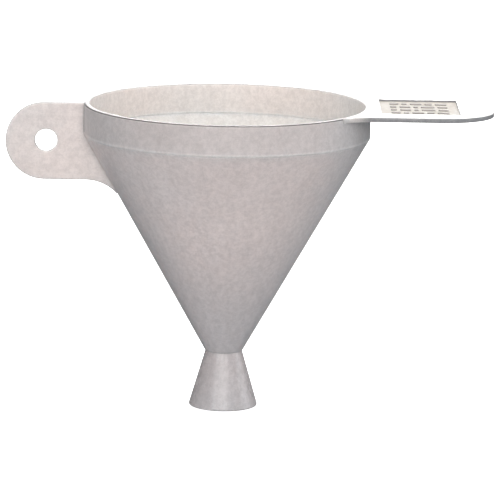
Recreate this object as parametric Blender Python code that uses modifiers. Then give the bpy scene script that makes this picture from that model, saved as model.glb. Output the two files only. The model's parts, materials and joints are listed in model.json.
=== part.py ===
"""A moulded plastic powder funnel with a hanging lug on one side and a thumb handle on the other.

Sizes are in metres and +Z is up. The funnel stands on its flared spout at Z = 0. The turned pieces share one
upright axis, carried by the empty funnel_axis. The object's length along X is centred on the origin, so that
axis lies a little to one side of it. The lug points along -X and the handle along +X.
"""

import math

import bmesh
import bpy

# Overall sizes of the funnel's body.
HEIGHT = 0.0817
RIM_RADIUS = 0.0381

# Collar: the upright band at the top.
COLLAR_HEIGHT = 0.00775
COLLAR_WALL = 0.0015
LIP_ROUND = 0.0004

# Cone: its wall is measured square to its surface, and its neck is the outside of its lower end.
CONE_WALL = 0.0014
NECK_RADIUS = 0.0050

# Drop spout: a flared skirt, whose wall is measured level.
SPOUT_HEIGHT = 0.0147
SPOUT_TOP_RADIUS = 0.0049
SPOUT_FOOT_RADIUS = 0.00915
SPOUT_WALL = 0.00135
FOOT_ROUND = 0.0004

# Hanging lug: an upright plate with a half-round end. Its length is counted from the rim.
LUG_LENGTH = 0.0208
LUG_WIDTH = 0.02065
LUG_DROP = 0.0003
LUG_THICKNESS = 0.0014
LUG_ROOT_FILLET = 0.0116
LUG_HOLE_RADIUS = 0.00295
LUG_HOLE_INSET = 0.0108
LUG_HOLE_LIFT = 0.0002

# Thumb handle: a level plate whose top is in the rim's plane. Its length is counted from the rim.
HANDLE_LENGTH = 0.0323
HANDLE_WIDTH = 0.0388
HANDLE_THICKNESS = 0.00125
HANDLE_CORNER_RADIUS = 0.0140
HANDLE_ROOT_FILLET = 0.0140

# Label recess in the handle: the borders of plain plate that are left around it, and its depth.
LABEL_ROOT_BORDER = 0.0024
LABEL_END_BORDER = 0.0092
LABEL_SIDE_BORDER = 0.0066
LABEL_DEPTH = 0.0005

# Raised bars on the label panel. A row lists its bars' shares of the row's free length, and the rows are the
# same on both sides of the handle's middle.
BAR_HEIGHT = 0.00025
BAR_WIDTH = 0.0017
BAR_SPACE = 0.0008
BAR_MARGIN = 0.0024
BAR_SIDE_ROW = (0.20, 0.12, 0.26, 0.16, 0.26)
BAR_MIDDLE_ROW = (0.14, 0.24, 0.10, 0.30, 0.22)
BAR_ROWS = (BAR_SIDE_ROW, BAR_MIDDLE_ROW, BAR_MIDDLE_ROW, BAR_SIDE_ROW)

# Fits and edges.
SEAM_GAP = 0.0003
PLATE_EDGE_ROUND = 0.00025

# Fineness of the round shapes.
BODY_STEPS = 96
SPOUT_STEPS = 64
LIP_SEGMENTS = 3
CORNER_SEGMENTS = 8
ROOT_SEGMENTS = 8
LUG_END_SEGMENTS = 24
HOLE_SEGMENTS = 32
MERGE_DISTANCE = 0.00001
SHARP_ANGLE = math.radians(35)

# Places that follow from the sizes above.
COLLAR_FOOT = HEIGHT - COLLAR_HEIGHT
CONE_TOP = COLLAR_FOOT - SEAM_GAP
CONE_FOOT = SPOUT_HEIGHT + SEAM_GAP
CONE_ANGLE = math.atan2(RIM_RADIUS - NECK_RADIUS, CONE_TOP - CONE_FOOT)
LUG_REACH = RIM_RADIUS + LUG_LENGTH
HANDLE_REACH = RIM_RADIUS + HANDLE_LENGTH
AXIS_X = (LUG_REACH - HANDLE_REACH) / 2

RIGHT_ANGLE = math.pi / 2

# Base colours and roughness of the undyed polypropylene, lighter where the plastic is flat and thin.
BODY_COLOUR = (0.53, 0.48, 0.49)
CONE_COLOUR = (0.47, 0.43, 0.44)
PLATE_COLOUR = (0.69, 0.63, 0.62)
LABEL_COLOUR = (0.63, 0.57, 0.54)
SATIN = 0.42
MATTE = 0.55


def clear_scene():
    for scene_object in list(bpy.data.objects):
        bpy.data.objects.remove(scene_object, do_unlink=True)


def new_collection(name):
    collection = bpy.data.collections.new(name)
    bpy.context.scene.collection.children.link(collection)
    return collection


def plastic(name, colour, roughness):
    """A dielectric material in one colour."""
    material = bpy.data.materials.new(name)
    material.use_nodes = True
    shader = material.node_tree.nodes["Principled BSDF"]
    shader.inputs["Base Color"].default_value = (*colour, 1.0)
    shader.inputs["Roughness"].default_value = roughness
    shader.inputs["Metallic"].default_value = 0.0
    return material


def place(name, data, parent, collection, material):
    """Make the object that holds this mesh or curve, on the funnel's axis."""
    piece = bpy.data.objects.new(name, data)
    collection.objects.link(piece)
    piece.parent = parent
    data.materials.append(material)
    return piece


def arc(centre, radius, start, end, segments):
    """Points on a circle from one angle to another, both ends included."""
    points = []
    for step in range(segments + 1):
        angle = start + (end - start) * step / segments
        x = centre[0] + radius * math.cos(angle)
        y = centre[1] + radius * math.sin(angle)
        points.append((x, y))
    return points


def apply_modifiers(piece):
    """Give the piece the mesh that its modifiers make, and take them off."""
    seen = piece.evaluated_get(bpy.context.evaluated_depsgraph_get())
    base = piece.data
    piece.data = bpy.data.meshes.new_from_object(seen)
    piece.modifiers.clear()
    bpy.data.meshes.remove(base)


def turned(name, profile, steps, parent, collection, material):
    """Spin a closed profile of (radius, height) points about the funnel's axis."""
    mesh = bpy.data.meshes.new(name)
    corners = [(radius, 0.0, height) for radius, height in profile]
    edges = [(i, (i + 1) % len(corners)) for i in range(len(corners))]
    mesh.from_pydata(corners, edges, [])
    piece = place(name, mesh, parent, collection, material)
    screw = piece.modifiers.new("spin", "SCREW")
    screw.axis = "Z"
    screw.angle = 2 * math.pi
    screw.steps = steps
    screw.render_steps = steps
    screw.use_merge_vertices = True
    screw.merge_threshold = MERGE_DISTANCE
    apply_modifiers(piece)
    piece.data.shade_smooth()
    piece.data.set_sharp_from_angle(angle=SHARP_ANGLE)
    return piece


def plate(name, outlines, thickness, parent, collection, material):
    """A flat plate from a closed outline, followed by the outlines of its holes, with softened edges."""
    curve = bpy.data.curves.new(name, "CURVE")
    curve.dimensions = "2D"
    curve.fill_mode = "BOTH"
    curve.extrude = thickness / 2
    for outline in outlines:
        spline = curve.splines.new("POLY")
        spline.points.add(len(outline) - 1)
        for point, (x, y) in zip(spline.points, outline):
            point.co = (x, y, 0.0, 1.0)
        spline.use_cyclic_u = True
    piece = place(name, curve, parent, collection, material)
    weld = piece.modifiers.new("close the caps", "WELD")
    weld.merge_threshold = MERGE_DISTANCE
    soften = piece.modifiers.new("soft edges", "BEVEL")
    soften.width = PLATE_EDGE_ROUND
    soften.segments = 2
    soften.limit_method = "ANGLE"
    soften.angle_limit = math.radians(60)
    return piece


def block(name, size, centre, parent, collection, material):
    """A box of a given size, as a mesh that Booleans can use."""
    mesh = bpy.data.meshes.new(name)
    form = bmesh.new()
    bmesh.ops.create_cube(form, size=1.0)
    bmesh.ops.scale(form, vec=size, verts=form.verts)
    form.to_mesh(mesh)
    form.free()
    piece = place(name, mesh, parent, collection, material)
    piece.location = centre
    return piece


def rim_collar(parent, collection):
    """The upright band whose top edge is the funnel's rim."""
    inside = RIM_RADIUS - COLLAR_WALL
    lip_height = HEIGHT - LIP_ROUND
    outer_lip = arc((RIM_RADIUS - LIP_ROUND, lip_height), LIP_ROUND, RIGHT_ANGLE, 0.0, LIP_SEGMENTS)
    inner_lip = arc((inside + LIP_ROUND, lip_height), LIP_ROUND, math.pi, RIGHT_ANGLE, LIP_SEGMENTS)
    profile = outer_lip + [(RIM_RADIUS, COLLAR_FOOT), (inside, COLLAR_FOOT)] + inner_lip
    material = plastic("collar_plastic", BODY_COLOUR, SATIN)
    return turned("rim_collar", profile, BODY_STEPS, parent, collection, material)


def cone_shell(parent, collection):
    """The straight cone between the collar and the spout."""
    level_wall = CONE_WALL / math.cos(CONE_ANGLE)
    profile = [
        (RIM_RADIUS, CONE_TOP),
        (NECK_RADIUS, CONE_FOOT),
        (NECK_RADIUS - level_wall, CONE_FOOT),
        (RIM_RADIUS - level_wall, CONE_TOP),
    ]
    material = plastic("cone_plastic", CONE_COLOUR, SATIN)
    return turned("cone_shell", profile, BODY_STEPS, parent, collection, material)


def drop_spout(parent, collection):
    """The flared skirt under the cone, hollow all the way, whose foot the funnel stands on."""
    round_centre = (SPOUT_FOOT_RADIUS - FOOT_ROUND, FOOT_ROUND)
    across = round_centre[0] - SPOUT_TOP_RADIUS
    down = SPOUT_HEIGHT - round_centre[1]
    flare = math.atan2(across, down) + math.asin(FOOT_ROUND / math.hypot(across, down))
    foot_edge = arc(round_centre, FOOT_ROUND, flare, -RIGHT_ANGLE, LIP_SEGMENTS)
    profile = (
        [(SPOUT_TOP_RADIUS, SPOUT_HEIGHT)]
        + foot_edge
        + [(SPOUT_FOOT_RADIUS - SPOUT_WALL, 0.0), (SPOUT_TOP_RADIUS - SPOUT_WALL, SPOUT_HEIGHT)]
    )
    material = plastic("spout_plastic", CONE_COLOUR, SATIN)
    return turned("drop_spout", profile, SPOUT_STEPS, parent, collection, material)


def lug_outline():
    """The lug's side view, as (x, z) points: its end, its root fillet, and the edge that follows the body."""
    top = HEIGHT - LUG_DROP
    bottom = top - LUG_WIDTH
    end_radius = LUG_WIDTH / 2
    end_centre = (end_radius - LUG_REACH, top - end_radius)
    end = arc(end_centre, end_radius, RIGHT_ANGLE, 3 * RIGHT_ANGLE, LUG_END_SEGMENTS)

    # The fillet is tangent to the lower edge and to the cone, and it stops at the seam gap.
    cone_x = -(NECK_RADIUS + (bottom - CONE_FOOT) * math.tan(CONE_ANGLE))
    tangent_length = LUG_ROOT_FILLET / math.tan((RIGHT_ANGLE + CONE_ANGLE) / 2)
    fillet_centre = (cone_x - tangent_length, bottom - LUG_ROOT_FILLET)
    fillet_end = CONE_ANGLE + math.acos(1 - SEAM_GAP / LUG_ROOT_FILLET)
    fillet = arc(fillet_centre, LUG_ROOT_FILLET, RIGHT_ANGLE, fillet_end, ROOT_SEGMENTS)

    # The inner edge keeps the seam gap to the cone's slope and, above it, to the upright collar.
    collar_x = -(RIM_RADIUS + SEAM_GAP)
    extra = SEAM_GAP / math.cos(CONE_ANGLE) - SEAM_GAP
    bend = (collar_x, CONE_TOP - extra / math.tan(CONE_ANGLE))
    return end + fillet + [bend, (collar_x, top)]


def hanging_lug(parent, collection):
    """The upright plate with the hole that the funnel hangs from."""
    hole_centre = (LUG_HOLE_INSET - LUG_REACH, HEIGHT - LUG_DROP - LUG_WIDTH / 2 + LUG_HOLE_LIFT)
    hole = arc(hole_centre, LUG_HOLE_RADIUS, 0.0, 2 * math.pi, HOLE_SEGMENTS)[:-1]
    material = plastic("lug_plastic", PLATE_COLOUR, MATTE)
    piece = plate("hanging_lug", [lug_outline(), hole], LUG_THICKNESS, parent, collection, material)
    piece.rotation_euler = (RIGHT_ANGLE, 0.0, 0.0)
    return piece


def handle_outline():
    """The handle's plan view: a round-cornered end, root fillets, and the arc that follows the collar."""
    half_width = HANDLE_WIDTH / 2
    corner = min(HANDLE_CORNER_RADIUS, half_width)
    corner_centre = (HANDLE_REACH - corner, half_width - corner)
    corner_arc = arc(corner_centre, corner, 0.0, RIGHT_ANGLE, CORNER_SEGMENTS)

    # The fillet is tangent to the handle's side and to the rim, and it stops at the seam gap.
    fillet_distance = RIM_RADIUS + HANDLE_ROOT_FILLET
    fillet_y = half_width + HANDLE_ROOT_FILLET
    fillet_x = math.sqrt(fillet_distance**2 - fillet_y**2)
    seam_radius = RIM_RADIUS + SEAM_GAP
    swing = math.acos(
        (fillet_distance**2 + HANDLE_ROOT_FILLET**2 - seam_radius**2)
        / (2 * fillet_distance * HANDLE_ROOT_FILLET)
    )
    fillet_end = math.atan2(-fillet_y, -fillet_x) + swing
    fillet_centre = (fillet_x, fillet_y)
    fillet = arc(fillet_centre, HANDLE_ROOT_FILLET, -RIGHT_ANGLE, fillet_end, ROOT_SEGMENTS)

    seam_start = math.atan2(fillet[-1][1], fillet[-1][0])
    seam = arc((0.0, 0.0), seam_radius, seam_start, 0.0, CORNER_SEGMENTS)
    upper = corner_arc + fillet + seam[1:]
    lower = [(x, -y) for x, y in reversed(upper[:-1])]
    return upper + lower


def label_window():
    """Length, width and middle of the opening in the handle that the label panel closes."""
    start = RIM_RADIUS + LABEL_ROOT_BORDER
    end = HANDLE_REACH - LABEL_END_BORDER
    return end - start, HANDLE_WIDTH - 2 * LABEL_SIDE_BORDER, (start + end) / 2


def thumb_handle(parent, collection):
    """The level plate beside the rim, open where the label panel sits."""
    length, width, middle = label_window()
    window = [
        (middle - length / 2, -width / 2),
        (middle - length / 2, width / 2),
        (middle + length / 2, width / 2),
        (middle + length / 2, -width / 2),
    ]
    material = plastic("handle_plastic", PLATE_COLOUR, MATTE)
    outlines = [handle_outline(), window]
    piece = plate("thumb_handle", outlines, HANDLE_THICKNESS, parent, collection, material)
    piece.location.z = HEIGHT - HANDLE_THICKNESS / 2
    return piece


def bar_forms(panel_size, panel_top, middle, parent, collection, material):
    """The raised bars, row by row across the panel, each sunk halfway into it so that they join."""
    free_length = panel_size[0] - 2 * BAR_MARGIN
    row_pitch = (panel_size[1] - 2 * BAR_MARGIN) / len(BAR_ROWS)
    for row, shares in enumerate(BAR_ROWS):
        y = (row - (len(BAR_ROWS) - 1) / 2) * row_pitch
        bar_total = free_length - BAR_SPACE * (len(shares) - 1)
        start = middle - free_length / 2
        for number, share in enumerate(shares):
            length = bar_total * share
            centre = (start + length / 2, y, panel_top)
            size = (length, BAR_WIDTH, 2 * BAR_HEIGHT)
            bar = block(f"bar_form_{row}_{number}", size, centre, parent, collection, material)
            bar.hide_render = True
            bar.display_type = "WIRE"
            start += length + BAR_SPACE


def label_panel(parent, collection, forms):
    """The sunken panel in the handle, with generic raised bars on it."""
    length, width, middle = label_window()
    thickness = HANDLE_THICKNESS - LABEL_DEPTH
    size = (length - 2 * SEAM_GAP, width - 2 * SEAM_GAP, thickness)
    centre = (middle, 0.0, HEIGHT - HANDLE_THICKNESS + thickness / 2)
    material = plastic("label_plastic", LABEL_COLOUR, MATTE)
    piece = block("label_panel", size, centre, parent, collection, material)
    bar_forms(size, HEIGHT - LABEL_DEPTH, middle, parent, forms, material)
    join = piece.modifiers.new("raised bars", "BOOLEAN")
    join.operation = "UNION"
    join.operand_type = "COLLECTION"
    join.collection = forms
    return piece


def build():
    clear_scene()
    funnel = new_collection("powder_funnel")
    forms = new_collection("label_bar_forms")
    axis = bpy.data.objects.new("funnel_axis", None)
    axis.location.x = AXIS_X
    funnel.objects.link(axis)
    rim_collar(axis, funnel)
    cone_shell(axis, funnel)
    drop_spout(axis, funnel)
    hanging_lug(axis, funnel)
    thumb_handle(axis, funnel)
    label_panel(axis, funnel, forms)


build()
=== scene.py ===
"""The looks of a moulded polypropylene powder funnel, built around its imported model.

Everything is in metres, in the model's frame: +Z up, the lug towards -X and the handle towards +X. Each
moulded part of the funnel is rebuilt as a fine mesh from the sizes of the node that it replaces.
"""

import json
import math

import bmesh
import bpy
from mathutils import Matrix, Vector


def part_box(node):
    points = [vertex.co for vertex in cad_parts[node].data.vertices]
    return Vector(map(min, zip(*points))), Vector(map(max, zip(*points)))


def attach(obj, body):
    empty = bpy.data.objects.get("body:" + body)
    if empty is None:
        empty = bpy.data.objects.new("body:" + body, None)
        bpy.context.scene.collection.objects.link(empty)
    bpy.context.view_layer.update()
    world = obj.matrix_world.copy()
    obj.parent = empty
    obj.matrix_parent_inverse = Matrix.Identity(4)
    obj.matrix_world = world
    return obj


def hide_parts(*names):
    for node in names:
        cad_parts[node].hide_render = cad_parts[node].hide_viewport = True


MM = 0.001
RIGHT_ANGLE = math.pi / 2

# Camera: where it stands from the middle of the funnel's foot, how it is turned, and its lens.
CAMERA_OFFSET = Vector((0.0, -1000.0 * MM, 233.1 * MM))
CAMERA_YAW = math.radians(0.378)
CAMERA_PITCH = math.radians(10.80)
CAMERA_ROLL = math.radians(1.02)
CAMERA_LENS_MM = 274.2

# Fineness of the meshes.
BODY_STEPS = 288
SPOUT_STEPS = 160
EDGE_STEPS = 5
FILLET_STEPS = 20
SUPPORT = 0.12 * MM

# Small forms that the plain solids leave out.
SHOULDER = 0.10 * MM
SHOULDER_ROUND = 0.09 * MM
COLLAR_OVERLAP = 0.10 * MM
LIP_ROUND = 0.30 * MM
LIP_ROUND_AT_HANDLE = 0.05 * MM
LIP_FADE = math.radians(6)
SMALL_ROUND = 0.10 * MM
TIGHT_ROUND = 0.03 * MM
FOOT_ROUND = 0.40 * MM
PLATE_ROUND = 0.30 * MM
HOLE_ROUND = 0.25 * MM
HANDLE_TOP_ROUND = 0.12 * MM
HANDLE_UNDER_ROUND = 0.22 * MM
WINDOW_ROUND = 0.12 * MM
FLUSH_ROUND = 0.02 * MM
ROOT_FLARE = 0.55 * MM
ROOT_SINK = 0.03 * MM
LUG_ROOT_FILLET = 11.6 * MM
HANDLE_ROOT_FILLET = 14.0 * MM

# Raised bars on the label panel.
BAR_RISE = 0.22 * MM
BAR_SINK = 0.10 * MM
BAR_WIDTH = 1.7 * MM
BAR_SPACE = 0.8 * MM
BAR_MARGIN = 2.4 * MM
BAR_CORNER = 0.45 * MM
BAR_SIDE_ROW = (0.20, 0.12, 0.26, 0.16, 0.26)
BAR_MIDDLE_ROW = (0.14, 0.24, 0.10, 0.30, 0.22)
BAR_ROWS = (BAR_SIDE_ROW, BAR_MIDDLE_ROW, BAR_MIDDLE_ROW, BAR_SIDE_ROW)

# Tints of the undyed plastic, which is one plastic throughout. Each part's tint is set lighter or darker to
# how lit that part looks, as painted light and shade, and the tints marked below paint light and shade onto
# parts of a surface.
BODY_TINT = (0.622, 0.602, 0.606)
CONE_TINT = (0.725, 0.698, 0.703)
# Painted light: the inner walls of the collar and the cone are set lighter than their outsides.
COLLAR_INSIDE_LIGHT_TINT = (0.735, 0.705, 0.69)
CONE_INSIDE_LIGHT_TINT = (0.97, 0.925, 0.89)
# Painted shade: the cone darker towards its neck.
NECK_SHADE_TINT = (0.60, 0.585, 0.60)
SPOUT_TINT = (0.585, 0.546, 0.550)
LUG_TINT = (0.80, 0.738, 0.72)
HANDLE_TINT = (0.74, 0.69, 0.67)
LABEL_TINT = (0.59, 0.525, 0.465)
# Painted shade: the raised bars are darker than the panel they stand on.
BAR_SHADE_TINT = (0.33, 0.29, 0.265)
# Painted shade: the narrow sides of the lug and the handle, and the lug's hole, are darker.
EDGE_SHADE_TINT = (0.33, 0.325, 0.33)
# Painted shade: the rim's top edge is darker, against the light from above.
RIM_TOP_SHADE_TINT = (0.47, 0.445, 0.44)
# Painted shade: a thin dark line along the rim's outer corner.
LIP_SHADE_TINT = (0.14, 0.13, 0.13)
# Painted light: a faint light line along the seam between the collar and the cone.
SEAM_LIGHT_TINT = (0.86, 0.83, 0.83)
# Painted light: the seam inside, lightened so that it does not look dark.
INNER_SEAM_LIGHT_TINT = (0.98, 0.95, 0.93)
SEAM_LIGHT_REACH = 0.75 * MM
RIM_FADE_START = 38.6 * MM
RIM_FADE_END = 42.0 * MM
NECK_FADE_START = 16 * MM
NECK_FADE_END = 52 * MM
RIM_LINE_START = 0.50 * MM
RIM_LINE_FULL = 0.34 * MM
ROOT_OVERRUN = math.radians(6)
FILLET_TIP = 0.3 * MM
PANEL_GAP = 0.01 * MM

# The plastic's own detail: noise scales, per metre, and the size of its bumps.
HAZE_SCALE = 14.0
CLOUD_SCALE = 42.0
RIPPLE_SCALE = 210.0
SCUFF_SCALE = 260.0
SPECK_SCALE = 700.0
GRAIN_SCALE = 2600.0
GRAIN_BUMP = 0.009 * MM
RIPPLE_BUMP = 0.02 * MM
PLASTIC_IOR = 1.49
SUBSURFACE_WEIGHT = 0.75
SUBSURFACE_RADIUS = (1.0, 0.92, 0.88)
SUBSURFACE_SCALE = 2.2 * MM

# Studio light: name, direction from the funnel, distance in metres, size in metres, watts, colour.
PLAIN_WHITE = (1.0, 1.0, 1.0)
WORLD_STRENGTH = 0.205
WORLD_COLOUR = (0.93, 0.96, 1.0)
LIGHTS = (
    ("front", (0.0, -1.0, 0.25), 1.2, 0.8, 8.6, (1.0, 0.985, 0.965)),
    ("front_left", (-0.5, -0.87, 0.25), 1.2, 0.8, 2.6, (0.97, 0.98, 1.0)),
    ("front_right", (0.5, -0.87, 0.25), 1.2, 0.8, 1.1, PLAIN_WHITE),
    ("right", (1.0, 0.0, 0.3), 1.2, 0.8, 5.0, (0.97, 0.985, 1.0)),
    ("above", (0.0, 0.6, 1.0), 1.2, 0.8, 14.5, (1.0, 0.985, 0.965)),
    ("behind", (0.0, 1.0, 0.12), 1.4, 0.5, 4.0, PLAIN_WHITE),
    ("glint", (-0.53, -0.85, 0.38), 1.2, 0.16, 0.9, PLAIN_WHITE),
)


# ---------------------------------------------------------------- outlines

def corner_arc(before, corner, after, radius, steps):
    """The points that round off a corner between two straight runs, tangent to both."""
    to_before = (before - corner).normalized()
    to_after = (after - corner).normalized()
    half = to_before.angle(to_after) / 2
    centre = corner + (to_before + to_after).normalized() * radius / math.sin(half)
    start = corner + to_before * radius / math.tan(half) - centre
    end = corner + to_after * radius / math.tan(half) - centre
    sweep = math.atan2(start.cross(end), start.dot(end))
    return [centre + Matrix.Rotation(sweep * i / steps, 2) @ start for i in range(steps + 1)]


def rounded(corners, steps=EDGE_STEPS, support=SUPPORT):
    """A closed outline through (x, y, radius) corners. A support point on each side of an arc keeps its
    shading off the straight run beside it."""
    points = []
    for i, (x, y, radius) in enumerate(corners):
        before = Vector(corners[i - 1][:2])
        corner = Vector((x, y))
        after = Vector(corners[(i + 1) % len(corners)][:2])
        arc = corner_arc(before, corner, after, radius, steps)
        if support:
            points.append(arc[0] + (before - arc[0]).normalized() * support)
        points.extend(arc)
        if support:
            points.append(arc[-1] + (after - arc[-1]).normalized() * support)
    return points


def room_inside(loops, point, inward):
    """How far a point of these outlines is from the outline opposite it."""
    nearest = 1.0
    for loop in loops:
        for i, (start, _, _) in enumerate(loop):
            end = loop[(i + 1) % len(loop)][0]
            side = end - start
            across = inward.cross(side)
            if abs(across) < 1e-12:
                continue
            reach = (start - point).cross(side) / across
            share = (start - point).cross(inward) / across
            if reach > 1e-6 and -0.001 <= share <= 1.001:
                nearest = min(nearest, reach)
    return nearest


# ---------------------------------------------------------------- meshes

def piece_from(form, name):
    """Turn a bmesh into a smooth-shaded object with its faces pointing out."""
    bmesh.ops.recalc_face_normals(form, faces=form.faces)
    mesh = bpy.data.meshes.new(name)
    form.to_mesh(mesh)
    form.free()
    mesh.shade_smooth()
    piece = bpy.data.objects.new(name, mesh)
    bpy.context.scene.collection.objects.link(piece)
    return piece


def join_rings(form, first, second):
    for i in range(len(first)):
        j = (i + 1) % len(first)
        form.faces.new((first[i], first[j], second[j], second[i]))


def turned(name, axis, profile_at, steps):
    """A closed ring about the funnel's axis. profile_at gives as many points at every angle."""
    form = bmesh.new()
    rings = []
    for step in range(steps):
        angle = 2 * math.pi * step / steps
        out = Vector((math.cos(angle), math.sin(angle), 0.0))
        up = Vector((0.0, 0.0, 1.0))
        rings.append([form.verts.new(axis + out * p.x + up * p.y) for p in profile_at(angle)])
    for step in range(steps):
        join_rings(form, rings[step], rings[(step + 1) % steps])
    return piece_from(form, name)


def inward_at(loop, i):
    """Direction into the material at a point of an outline, and how far a mitred corner stretches it."""
    point = loop[i][0]
    before = (point - loop[i - 1][0]).normalized()
    after = (loop[(i + 1) % len(loop)][0] - point).normalized()
    left_after = Vector((-after.y, after.x))
    inward = (Vector((-before.y, before.x)) + left_after).normalized()
    return inward, 1 / max(inward.dot(left_after), 0.45)


def edge_rings(form, loops, place, height, side, rounds):
    """Rings that round one face's edge, from the side wall inwards, ending with a support ring on the face.
    side is 1 on the upper face and -1 on the lower one. A round below zero flares outwards instead."""
    inner = []
    outer = []
    for loop in loops:
        ways = [inward_at(loop, i) for i in range(len(loop))]
        limits = [0.42 * room_inside(loops, loop[i][0], ways[i][0]) for i in range(len(loop))]
        rings = []
        for step in range(EDGE_STEPS + 2):
            turn = min(step / EDGE_STEPS, 1.0) * RIGHT_ANGLE
            ring = []
            for i, entry in enumerate(loop):
                inward, stretch = ways[i]
                size = entry[rounds]
                scale = min(1.0, limits[i] / (abs(size) * stretch + SUPPORT))
                size *= scale
                depth = abs(size) * (1 - math.cos(turn))
                if step > EDGE_STEPS:
                    depth += SUPPORT * scale
                at = entry[0] + inward * depth * stretch
                level = height - side * size * (1 - math.sin(turn))
                ring.append(form.verts.new(place(at.x, at.y, level)))
            rings.append(ring)
        for first, second in zip(rings, rings[1:]):
            join_rings(form, first, second)
        outer.append(rings[0])
        inner.append(rings[-1])
    edges = []
    for ring in inner:
        for i in range(len(ring)):
            edges.append(form.edges.get((ring[i], ring[(i + 1) % len(ring)])))
    bmesh.ops.triangle_fill(form, edges=edges, use_beauty=True)
    return outer


def add_slab(form, loops, place, low, high):
    """A plate between two heights. A loop lists (point, upper round, lower round), with the plate on its
    left."""
    upper = edge_rings(form, loops, place, high, 1, 1)
    lower = edge_rings(form, loops, place, low, -1, 2)
    for first, second in zip(upper, lower):
        join_rings(form, first, second)


# ---------------------------------------------------------------- sizes from the frame

def corners_of(node):
    return [vertex.co for vertex in frame["nodes"][node].data.vertices]


def ring_radii(node, height):
    """The smallest and largest radius of a turned node's corners at a height."""
    found = []
    for corner in corners_of(node):
        if abs(corner.z - height) < 0.05 * MM:
            found.append((corner.xy - axis.xy).length)
    return min(found), max(found)


def handle_root_angle():
    """Half the angle, about the axis, that the handle's root takes up."""
    rim = ring_radii("rim_collar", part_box("rim_collar")[0].z)[1]
    return math.asin(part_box("thumb_handle")[1].y / rim)


# ---------------------------------------------------------------- pieces

def make_collar():
    """The upright band. Its lip is rounded, except where the handle carries its flat top on."""
    low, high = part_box("rim_collar")
    inside, outside = ring_radii("rim_collar", low.z)
    outside -= SHOULDER
    handle_angle = handle_root_angle()
    foot = low.z - seam_below_collar - COLLAR_OVERLAP

    def profile_at(angle):
        from_handle = abs(math.remainder(angle, 2 * math.pi))
        share = min(max((from_handle - handle_angle + LIP_FADE) / LIP_FADE, 0.0), 1.0)
        share = share * share * (3 - 2 * share)
        outer_round = LIP_ROUND_AT_HANDLE + (LIP_ROUND - LIP_ROUND_AT_HANDLE) * share
        return rounded([
            (outside, high.z, outer_round),
            (outside, foot, SMALL_ROUND),
            (inside, foot, TIGHT_ROUND),
            (inside, high.z, LIP_ROUND),
        ])

    return turned("rim_collar_skin", axis, profile_at, BODY_STEPS)


def make_cone():
    """The straight cone. Its top edge stands proud of the collar, as a fine ridge at the seam."""
    low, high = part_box("cone_shell")
    top_inside, top_outside = ring_radii("cone_shell", high.z)
    neck_inside, neck_outside = ring_radii("cone_shell", low.z)
    profile = rounded([
        (top_outside, high.z, SHOULDER_ROUND),
        (neck_outside, low.z, SMALL_ROUND),
        (neck_inside, low.z, SMALL_ROUND),
        (top_inside, high.z, TIGHT_ROUND),
    ])
    return turned("cone_shell_skin", axis, lambda angle: profile, BODY_STEPS)


def make_spout():
    """The flared skirt, up to the cone's end."""
    low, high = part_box("drop_spout")
    top_inside, top_outside = ring_radii("drop_spout", high.z)
    foot_inside = ring_radii("drop_spout", low.z)[0]
    foot_outside = (high.x - low.x) / 2
    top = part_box("cone_shell")[0].z

    def profile_to(foot):
        return rounded([
            (top_outside, top, SMALL_ROUND),
            (foot, low.z, FOOT_ROUND),
            (foot_inside, low.z, SMALL_ROUND),
            (top_inside, top, SMALL_ROUND),
        ])

    # Rounding the foot's corner draws it in, so the corner is moved out to bring the skirt back to its size.
    widest = max(point.x for point in profile_to(foot_outside))
    spread = (foot_outside - top_outside) / (widest - top_outside)
    profile = profile_to(top_outside + (foot_outside - top_outside) * spread)
    return turned("drop_spout_skin", axis, lambda angle: profile, SPOUT_STEPS)


def cone_radius(height):
    """The cone's outer radius at a height."""
    low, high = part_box("cone_shell")
    neck = ring_radii("cone_shell", low.z)[1]
    top = ring_radii("cone_shell", high.z)[1]
    return neck + (top - neck) * (height - low.z) / (high.z - low.z)


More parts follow.
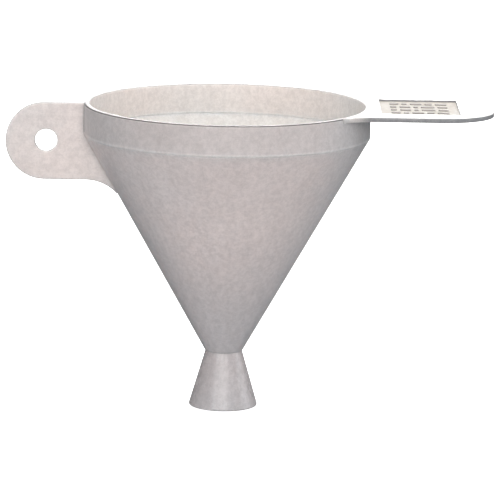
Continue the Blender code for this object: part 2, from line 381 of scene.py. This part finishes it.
def make_lug():
    """The upright plate with its hole. It thickens where it meets the body, as a moulded rib does."""
    low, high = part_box("hanging_lug")
    collar_low, collar_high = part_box("rim_collar")
    opening = [o for o in frame["record"]["physics"]["openings"] if o["name"] == "lug_hole"][0]["box_m"]
    hole = (Vector(opening[0]) + Vector(opening[1])) / 2
    hole_radius = min((corner.xz - hole.xz).length for corner in corners_of("hanging_lug"))
    bottom = min(corner.z for corner in corners_of("hanging_lug") if corner.x < hole.x)
    end_radius = (high.z - bottom) / 2
    middle = (high.z + bottom) / 2

    end_centre = Vector((low.x + end_radius, middle))
    end = []
    for step in range(2 * FILLET_STEPS + 1):
        angle = RIGHT_ANGLE + math.pi * step / (2 * FILLET_STEPS)
        end.append(end_centre + end_radius * Vector((math.cos(angle), math.sin(angle))))

    # The root fillet is tangent to the lower edge and to the cone, and stops short of its thin tip.
    corner = Vector((axis.x - cone_radius(bottom), bottom))
    below = Vector((axis.x - cone_radius(bottom - end_radius), bottom - end_radius))
    fillet = corner_arc(end[-1], corner, below, LUG_ROOT_FILLET, FILLET_STEPS)
    fillet = [p for p in fillet if axis.x - cone_radius(p.y) - p.x > FILLET_TIP]

    collar_x = axis.x - ring_radii("rim_collar", collar_low.z)[1] + SHOULDER + ROOT_SINK
    cone_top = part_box("cone_shell")[1].z
    root = []
    for step in range(FILLET_STEPS):
        height = fillet[-1].y + (cone_top - fillet[-1].y) * step / FILLET_STEPS
        root.append(Vector((axis.x - cone_radius(height) + ROOT_SINK, height)))
    for step in range(5):
        root.append(Vector((collar_x, cone_top + (high.z - cone_top) * step / 4)))

    # The outline runs with the plate on its left.
    loop = [(p, PLATE_ROUND, PLATE_ROUND) for p in end + fillet]
    loop += [(p, -ROOT_FLARE, -ROOT_FLARE) for p in root[:-1]]
    loop.append((root[-1], -0.5 * ROOT_FLARE, -0.5 * ROOT_FLARE))
    hole_loop = []
    for step in range(2 * FILLET_STEPS):
        angle = -2 * math.pi * step / (2 * FILLET_STEPS)
        at = hole.xz + hole_radius * Vector((math.cos(angle), math.sin(angle)))
        hole_loop.append((at, HOLE_ROUND, HOLE_ROUND))

    form = bmesh.new()
    add_slab(form, [loop, hole_loop], lambda x, y, level: Vector((x, -level, y)), low.y, high.y)
    return piece_from(form, "hanging_lug_skin")


def label_window():
    """Low and high corners, in plan, of the recess that the label panel closes."""
    low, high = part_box("label_panel")
    return low.xy - Vector((seam_below_collar,) * 2), high.xy + Vector((seam_below_collar,) * 2)


def make_handle():
    """The level plate beside the rim, with its top flush with the rim and a fillet under its root."""
    low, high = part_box("thumb_handle")
    corners = corners_of("thumb_handle")
    middle_x = (low.x + high.x) / 2
    half_width = max(corner.y for corner in corners if corner.x > middle_x)
    end_y = max(corner.y for corner in corners if corner.x > high.x - 0.01 * MM)
    corner_radius = half_width - end_y
    rim = ring_radii("rim_collar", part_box("rim_collar")[0].z)[1] - SHOULDER

    corner_centre = Vector((high.x - corner_radius, half_width - corner_radius))
    upper = []
    for step in range(FILLET_STEPS + 1):
        angle = RIGHT_ANGLE * step / FILLET_STEPS
        offset = Vector((math.cos(angle), math.sin(angle)))
        upper.append((corner_centre + corner_radius * offset, HANDLE_TOP_ROUND, HANDLE_UNDER_ROUND))

    distance = rim + HANDLE_ROOT_FILLET
    fillet_y = half_width + HANDLE_ROOT_FILLET
    fillet_x = math.sqrt(distance**2 - fillet_y**2)
    fillet_centre = axis.xy + Vector((fillet_x, fillet_y))
    start_angle = -RIGHT_ANGLE
    end_angle = math.atan2(-fillet_y, -fillet_x) + ROOT_OVERRUN
    for step in range(FILLET_STEPS + 1):
        angle = start_angle + (end_angle - start_angle) * step / FILLET_STEPS
        offset = Vector((math.cos(angle), math.sin(angle)))
        round_share = 1 - step / FILLET_STEPS
        upper.append((
            fillet_centre + HANDLE_ROOT_FILLET * offset,
            FLUSH_ROUND + (HANDLE_TOP_ROUND - FLUSH_ROUND) * round_share,
            FLUSH_ROUND + (HANDLE_UNDER_ROUND - FLUSH_ROUND) * round_share,
        ))

    root_radius = rim - ROOT_SINK
    last = upper[-1][0] - axis.xy
    root_angle = math.atan2(last.y, last.x)
    for step in range(FILLET_STEPS + 1):
        angle = root_angle * (1 - step / FILLET_STEPS)
        offset = Vector((math.cos(angle), math.sin(angle)))
        flare = ROOT_FLARE * min(1.0, 3 * step / FILLET_STEPS)
        upper.append((axis.xy + root_radius * offset, FLUSH_ROUND, -flare))
    lower = [(Vector((p.x, -p.y)), a, b) for p, a, b in reversed(upper[:-1])]

    window_low, window_high = label_window()
    window = [
        (Vector((window_low.x, window_low.y)), WINDOW_ROUND, FLUSH_ROUND),
        (Vector((window_low.x, window_high.y)), WINDOW_ROUND, FLUSH_ROUND),
        (Vector((window_high.x, window_high.y)), WINDOW_ROUND, FLUSH_ROUND),
        (Vector((window_high.x, window_low.y)), WINDOW_ROUND, FLUSH_ROUND),
    ]
    form = bmesh.new()
    add_slab(form, [upper + lower, window], lambda x, y, level: Vector((x, y, level)), low.z, high.z)
    return piece_from(form, "thumb_handle_skin")


def panel_top():
    """Height of the label panel's own surface, under its bars: the middle one of its three levels."""
    levels = sorted({round(corner.z, 6) for corner in corners_of("label_panel")})
    return levels[1]


def make_panel():
    """The sunken panel in the handle's top."""
    window_low, window_high = label_window()
    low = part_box("label_panel")[0]
    gap = Vector((PANEL_GAP, PANEL_GAP))
    near, far = window_low + gap, window_high - gap
    loop = [
        (Vector((near.x, near.y)), FLUSH_ROUND, FLUSH_ROUND),
        (Vector((far.x, near.y)), FLUSH_ROUND, FLUSH_ROUND),
        (Vector((far.x, far.y)), FLUSH_ROUND, FLUSH_ROUND),
        (Vector((near.x, far.y)), FLUSH_ROUND, FLUSH_ROUND),
    ]
    form = bmesh.new()
    add_slab(form, [loop], lambda x, y, level: Vector((x, y, level)), low.z, panel_top())
    return piece_from(form, "label_panel_skin")


def make_bars():
    """Plain raised bars in rows on the panel."""
    low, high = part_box("label_panel")
    free = high.x - low.x - 2 * BAR_MARGIN
    pitch = (high.y - low.y - 2 * BAR_MARGIN) / len(BAR_ROWS)
    middle_y = (low.y + high.y) / 2
    top = panel_top()
    form = bmesh.new()
    for row, shares in enumerate(BAR_ROWS):
        y = middle_y + (row - (len(BAR_ROWS) - 1) / 2) * pitch
        start = low.x + BAR_MARGIN
        for share in shares:
            length = (free - BAR_SPACE * (len(shares) - 1)) * share
            outline = rounded([
                (start, y - BAR_WIDTH / 2, BAR_CORNER),
                (start + length, y - BAR_WIDTH / 2, BAR_CORNER),
                (start + length, y + BAR_WIDTH / 2, BAR_CORNER),
                (start, y + BAR_WIDTH / 2, BAR_CORNER),
            ], support=0)
            loop = [(p, SMALL_ROUND, FLUSH_ROUND) for p in outline]
            add_slab(form, [loop], lambda x, y, z: Vector((x, y, z)), top - BAR_SINK, top + BAR_RISE)
            start += length + BAR_SPACE
    return piece_from(form, "label_bars")


# ---------------------------------------------------------------- materials

class Nodes:
    """A material's node tree, with one short call for each node."""

    def __init__(self, name):
        self.material = bpy.data.materials.new(name)
        self.material.use_nodes = True
        self.tree = self.material.node_tree
        self.shader = self.tree.nodes["Principled BSDF"]
        self.place = self.add("ShaderNodeTexCoord").outputs["Object"]
        self.parts = self.add("ShaderNodeSeparateXYZ", self.place).outputs
        geometry = self.add("ShaderNodeNewGeometry")
        self.normal = self.add("ShaderNodeSeparateXYZ", geometry.outputs["Normal"]).outputs
        self.across = self.maths("SUBTRACT", self.parts["X"], axis.x)
        self.angle = self.maths("ARCTAN2", self.parts["Y"], self.across)
        flat = self.add("ShaderNodeCombineXYZ", self.across, self.parts["Y"], 0.0).outputs[0]
        self.radius = self.add("ShaderNodeVectorMath", flat, operation="LENGTH").outputs["Value"]

    def add(self, kind, *sources, **settings):
        """Add a node and feed its inputs in order. A source is a socket, a value, or None to leave the
        input."""
        node = self.tree.nodes.new(kind)
        for key, value in settings.items():
            setattr(node, key, value)
        for socket, source in zip(node.inputs, sources):
            if isinstance(source, bpy.types.NodeSocket):
                self.tree.links.new(source, socket)
            elif source is not None:
                socket.default_value = source
        return node

    def maths(self, operation, *sources):
        return self.add("ShaderNodeMath", *sources, operation=operation).outputs[0]

    def noise(self, place, scale, detail, roughness=0.5):
        node = self.add("ShaderNodeTexNoise", place)
        node.inputs["Scale"].default_value = scale
        node.inputs["Detail"].default_value = detail
        node.inputs["Roughness"].default_value = roughness
        return node.outputs[0]

    def spread(self, value, low, high, start, end):
        """Carry a value from one range to another, held at both ends."""
        return self.add("ShaderNodeMapRange", value, low, high, start, end).outputs[0]

    def blend(self, share, first, second):
        """Mix two colours, each a socket or three numbers."""
        node = self.tree.nodes.new("ShaderNodeMix")
        node.data_type = "RGBA"
        for name, source in (("Factor_Float", share), ("A_Color", first), ("B_Color", second)):
            socket = next(i for i in node.inputs if i.identifier == name)
            if isinstance(source, bpy.types.NodeSocket):
                self.tree.links.new(source, socket)
            else:
                socket.default_value = source if name == "Factor_Float" else (*source, 1.0)
        return next(o for o in node.outputs if o.identifier == "Result_Color")

    def tinted(self, colour, factors):
        """A colour with its three channels scaled."""
        if not isinstance(colour, bpy.types.NodeSocket):
            return tuple(channel * factor for channel, factor in zip(colour, factors))
        return self.add("ShaderNodeVectorMath", colour, factors, operation="MULTIPLY").outputs[0]


def facing(nodes, way):
    """How far a face looks along an axis, from 0 to 1, either way."""
    return nodes.maths("ABSOLUTE", nodes.normal[way])


def inner_wall(nodes):
    """1 on the faces of a turned wall that look at the axis."""
    across = nodes.maths("MULTIPLY", nodes.across, nodes.normal["X"])
    along = nodes.maths("MULTIPLY", nodes.parts["Y"], nodes.normal["Y"])
    outward = nodes.maths("DIVIDE", nodes.maths("ADD", across, along), nodes.radius)
    return nodes.spread(outward, -0.45, -0.15, 1.0, 0.0)


def neck_shade(nodes):
    """Rises to 1 down the cone, for painted shade that darkens the cone towards its neck."""
    return nodes.spread(nodes.parts["Z"], NECK_FADE_START, NECK_FADE_END, 1.0, 0.0)


def seam_light(nodes):
    """1 along the seam between the collar and the cone, where painted light makes a faint light line and
    lightens the dark shading where the two pieces meet.
    """
    away = nodes.maths("ABSOLUTE", nodes.maths("SUBTRACT", nodes.parts["Z"], seam_height))
    return nodes.spread(away, 0.1 * MM, SEAM_LIGHT_REACH, 1.0, 0.0)


def inner_seam_light(nodes):
    """1 along the same seam inside, where painted light keeps it from looking dark."""
    return nodes.maths("MULTIPLY", seam_light(nodes), inner_wall(nodes))


def beside_handle(nodes):
    """1 where the rim runs into the handle."""
    handle_angle = handle_root_angle()
    turn = nodes.maths("ABSOLUTE", nodes.angle)
    return nodes.spread(turn, handle_angle - LIP_FADE, handle_angle, 1.0, 0.0)


def rim_top(nodes):
    """1 on the rim's top edge, for its painted shade, and beside the handle for the handle's tint."""
    return nodes.spread(nodes.normal["Z"], 0.25, 0.60, 0.0, 1.0)


def rim_shade_line(nodes):
    """1 on the outer corner of the rim, away from the handle, for a painted dark line of shade."""
    outside = rim_radius - SHOULDER
    corner = nodes.spread(nodes.radius, outside - RIM_LINE_START, outside - RIM_LINE_FULL, 0.0, 1.0)
    tilted = nodes.spread(nodes.normal["Z"], 0.05, 0.20, 0.0, 1.0)
    clear = nodes.maths("SUBTRACT", 1.0, beside_handle(nodes))
    return nodes.maths("MULTIPLY", nodes.maths("MULTIPLY", corner, tilted), clear)


def rim_at_handle(nodes):
    """1 on the top edge where it runs into the handle."""
    return nodes.maths("MULTIPLY", rim_top(nodes), beside_handle(nodes))


def handle_sides(nodes):
    """1 on the handle's narrow sides, fading into the body at its root, for their painted shade."""
    side = nodes.spread(facing(nodes, "Z"), 0.55, 0.90, 1.0, 0.0)
    clear = nodes.spread(nodes.radius, RIM_FADE_START, RIM_FADE_END, 0.0, 1.0)
    return nodes.maths("MULTIPLY", side, clear)


def lug_sides(nodes):
    """1 on the lug's narrow sides and in its hole, for their painted shade."""
    return nodes.spread(facing(nodes, "Y"), 0.35, 0.80, 1.0, 0.0)


def milky_plastic(name, colour, roughness, flow, patches=(), grain=1.0):
    """Undyed polypropylene: cloudy, a little see-through, with flow streaks and a fine satin grain. flow is
    "round" for streaks down a turned wall and "along" for streaks along a plate. A patch is a share of the
    surface, from a function, and the colour it takes there."""
    nodes = Nodes(name)
    if flow == "round":
        wrapped = nodes.add(
            "ShaderNodeCombineXYZ",
            nodes.maths("COSINE", nodes.angle),
            nodes.maths("SINE", nodes.angle),
            nodes.maths("MULTIPLY", nodes.parts["Z"], 5.0),
        ).outputs[0]
        streaks = nodes.noise(wrapped, 9.0, 4.0, 0.6)
    else:
        stretched = nodes.add("ShaderNodeVectorMath", nodes.place, (90.0, 620.0, 620.0), operation="MULTIPLY")
        streaks = nodes.noise(stretched.outputs[0], 1.0, 3.0, 0.6)
    clouds = nodes.noise(nodes.place, CLOUD_SCALE, 3.0, 0.55)
    haze = nodes.noise(nodes.place, HAZE_SCALE, 1.0)
    specks = nodes.noise(nodes.place, SPECK_SCALE, 4.0, 0.85)

    base = colour
    for share, patch in patches:
        base = nodes.blend(share(nodes), base, patch)
    warm = nodes.tinted(base, (1.02, 0.99, 0.975))
    cool = nodes.tinted(base, (0.95, 0.99, 1.005))
    base = nodes.blend(nodes.spread(haze, 0.38, 0.62, 0.0, 1.0), warm, cool)
    for layer, low, high, share, factor in (
        (clouds, 0.35, 0.70, 0.55, 1.06),
        (streaks, 0.42, 0.70, 0.40, 0.90),
        (specks, 0.38, 0.62, 0.60, 0.74),
    ):
        scaled = nodes.tinted(base, (factor, factor, factor))
        base = nodes.blend(nodes.spread(layer, low, high, 0.0, share), base, scaled)
    nodes.tree.links.new(base, nodes.shader.inputs["Base Color"])

    scuffs = nodes.noise(nodes.place, SCUFF_SCALE, 5.0, 0.7)
    satin = nodes.spread(scuffs, 0.35, 0.75, roughness - 0.05, roughness + 0.09)
    satin = nodes.maths("ADD", satin, nodes.spread(streaks, 0.3, 0.7, -0.02, 0.03))
    nodes.tree.links.new(satin, nodes.shader.inputs["Roughness"])

    fine = nodes.maths("MULTIPLY", nodes.noise(nodes.place, GRAIN_SCALE, 2.0), GRAIN_BUMP * grain)
    ripple = nodes.maths("MULTIPLY", nodes.noise(nodes.place, RIPPLE_SCALE, 2.0), RIPPLE_BUMP)
    bump = nodes.add("ShaderNodeBump")
    bump.inputs["Strength"].default_value = 1.0
    bump.inputs["Distance"].default_value = 1.0
    nodes.tree.links.new(nodes.maths("ADD", fine, ripple), bump.inputs["Height"])
    nodes.tree.links.new(bump.outputs[0], nodes.shader.inputs["Normal"])

    nodes.shader.inputs["IOR"].default_value = PLASTIC_IOR
    nodes.shader.inputs["Subsurface Weight"].default_value = SUBSURFACE_WEIGHT
    nodes.shader.inputs["Subsurface Radius"].default_value = SUBSURFACE_RADIUS
    nodes.shader.inputs["Subsurface Scale"].default_value = SUBSURFACE_SCALE
    return nodes.material


# ---------------------------------------------------------------- stage

def make_camera():
    forward = Vector((
        math.sin(CAMERA_YAW) * math.cos(CAMERA_PITCH),
        math.cos(CAMERA_YAW) * math.cos(CAMERA_PITCH),
        -math.sin(CAMERA_PITCH),
    ))
    level = forward.cross(Vector((0.0, 0.0, 1.0))).normalized()
    upright = level.cross(forward)
    right = level * math.cos(CAMERA_ROLL) + upright * math.sin(CAMERA_ROLL)
    up = upright * math.cos(CAMERA_ROLL) - level * math.sin(CAMERA_ROLL)
    data = bpy.data.cameras.new("camera")
    data.sensor_width = 36.0
    data.lens = CAMERA_LENS_MM
    data.clip_start = 0.01
    camera = bpy.data.objects.new("camera", data)
    bpy.context.scene.collection.objects.link(camera)
    facing = Matrix((right, up, -forward)).transposed().to_4x4()
    camera.matrix_world = Matrix.Translation(axis + CAMERA_OFFSET) @ facing
    bpy.context.scene.camera = camera


def soft_light(name, direction, distance, size, power, colour):
    """A square area light that looks at the middle of the funnel."""
    data = bpy.data.lights.new(name, "AREA")
    data.size = size
    data.energy = power
    data.color = colour
    light = bpy.data.objects.new(name, data)
    bpy.context.scene.collection.objects.link(light)
    target = axis + Vector((0.0, 0.0, 0.5 * height))
    place = Vector(direction).normalized() * distance
    light.location = target + place
    light.rotation_euler = place.to_track_quat("Z", "Y").to_euler()


def make_floor():
    form = bmesh.new()
    bmesh.ops.create_grid(form, x_segments=8, y_segments=8, size=4.0)
    mesh = bpy.data.meshes.new("floor")
    form.to_mesh(mesh)
    form.free()
    floor = bpy.data.objects.new("floor", mesh)
    bpy.context.scene.collection.objects.link(floor)
    material = bpy.data.materials.new("floor_white")
    material.use_nodes = True
    shader = material.node_tree.nodes["Principled BSDF"]
    shader.inputs["Base Color"].default_value = (0.92, 0.92, 0.92, 1.0)
    shader.inputs["Roughness"].default_value = 0.9
    shader.inputs["Emission Color"].default_value = (1.0, 1.0, 1.0, 1.0)
    shader.inputs["Emission Strength"].default_value = 0.8
    mesh.materials.append(material)
    floor.visible_diffuse = False
    floor.visible_glossy = False


def make_world(strength, colour):
    world = bpy.data.worlds.new("studio")
    world.use_nodes = True
    background = world.node_tree.nodes["Background"]
    background.inputs["Color"].default_value = (*colour, 1.0)
    background.inputs["Strength"].default_value = strength
    bpy.context.scene.world = world


# ---------------------------------------------------------------- build

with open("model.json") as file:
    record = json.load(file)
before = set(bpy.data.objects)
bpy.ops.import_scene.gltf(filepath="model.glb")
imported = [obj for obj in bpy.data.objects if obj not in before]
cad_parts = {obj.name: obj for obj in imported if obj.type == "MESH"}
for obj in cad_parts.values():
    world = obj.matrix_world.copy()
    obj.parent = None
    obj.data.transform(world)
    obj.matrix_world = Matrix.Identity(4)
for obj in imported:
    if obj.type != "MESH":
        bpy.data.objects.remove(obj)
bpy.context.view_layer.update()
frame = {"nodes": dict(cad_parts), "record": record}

rim_low, rim_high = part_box("rim_collar")
axis = Vector(((rim_low.x + rim_high.x) / 2, (rim_low.y + rim_high.y) / 2, 0.0))
height = rim_high.z
rim_radius = (rim_high.x - rim_low.x) / 2
seam_below_collar = rim_low.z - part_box("cone_shell")[1].z
seam_height = rim_low.z - seam_below_collar

make_camera()
make_floor()
make_world(WORLD_STRENGTH, WORLD_COLOUR)
for light in LIGHTS:
    soft_light(*light)
bpy.context.scene.view_settings.view_transform = "Standard"

collar_plastic = milky_plastic("collar_polypropylene", BODY_TINT, 0.36, "round", (
    # painted light along the seam
    (seam_light, SEAM_LIGHT_TINT),
    # painted light on the inner wall
    (inner_wall, COLLAR_INSIDE_LIGHT_TINT),
    # painted light along the seam inside
    (inner_seam_light, INNER_SEAM_LIGHT_TINT),
    # painted shade on the rim's top edge
    (rim_top, RIM_TOP_SHADE_TINT),
    # painted shade, a dark line along the rim's outer corner
    (rim_shade_line, LIP_SHADE_TINT),
    (rim_at_handle, HANDLE_TINT),
))
cone_plastic = milky_plastic("cone_polypropylene", CONE_TINT, 0.36, "round", (
    # painted shade, darker towards the neck
    (neck_shade, NECK_SHADE_TINT),
    # painted light along the seam
    (seam_light, SEAM_LIGHT_TINT),
    # painted light on the inner wall
    (inner_wall, CONE_INSIDE_LIGHT_TINT),
    # painted light along the seam inside
    (inner_seam_light, INNER_SEAM_LIGHT_TINT),
))
spout_plastic = milky_plastic("spout_polypropylene", SPOUT_TINT, 0.27, "round", grain=1.6)
# The lug's narrow sides and hole take painted shade.
lug_plastic = milky_plastic("lug_polypropylene", LUG_TINT, 0.42, "along", ((lug_sides, EDGE_SHADE_TINT),))
handle_plastic = milky_plastic("handle_polypropylene", HANDLE_TINT, 0.26, "along", (
    # painted shade on the narrow sides
    (handle_sides, EDGE_SHADE_TINT),
))
panel_plastic = milky_plastic("label_polypropylene", LABEL_TINT, 0.55, "along", grain=2.5)
# The raised bars take painted shade.
bar_plastic = milky_plastic("bar_polypropylene", BAR_SHADE_TINT, 0.50, "along")

PIECES = (
    (make_collar, "rim_collar", "collar_plastic", collar_plastic),
    (make_cone, "cone_shell", "cone_plastic", cone_plastic),
    (make_spout, "drop_spout", "spout_plastic", spout_plastic),
    (make_lug, "hanging_lug", "lug_plastic", lug_plastic),
    (make_handle, "thumb_handle", "handle_plastic", handle_plastic),
    (make_panel, "label_panel", "label_plastic", panel_plastic),
    (make_bars, "label_panel", "label_plastic", bar_plastic),
)
for make, node, slot, plastic in PIECES:
    piece = make()
    piece.data.materials.append(plastic)
    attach(piece, "root")
    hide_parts(node)
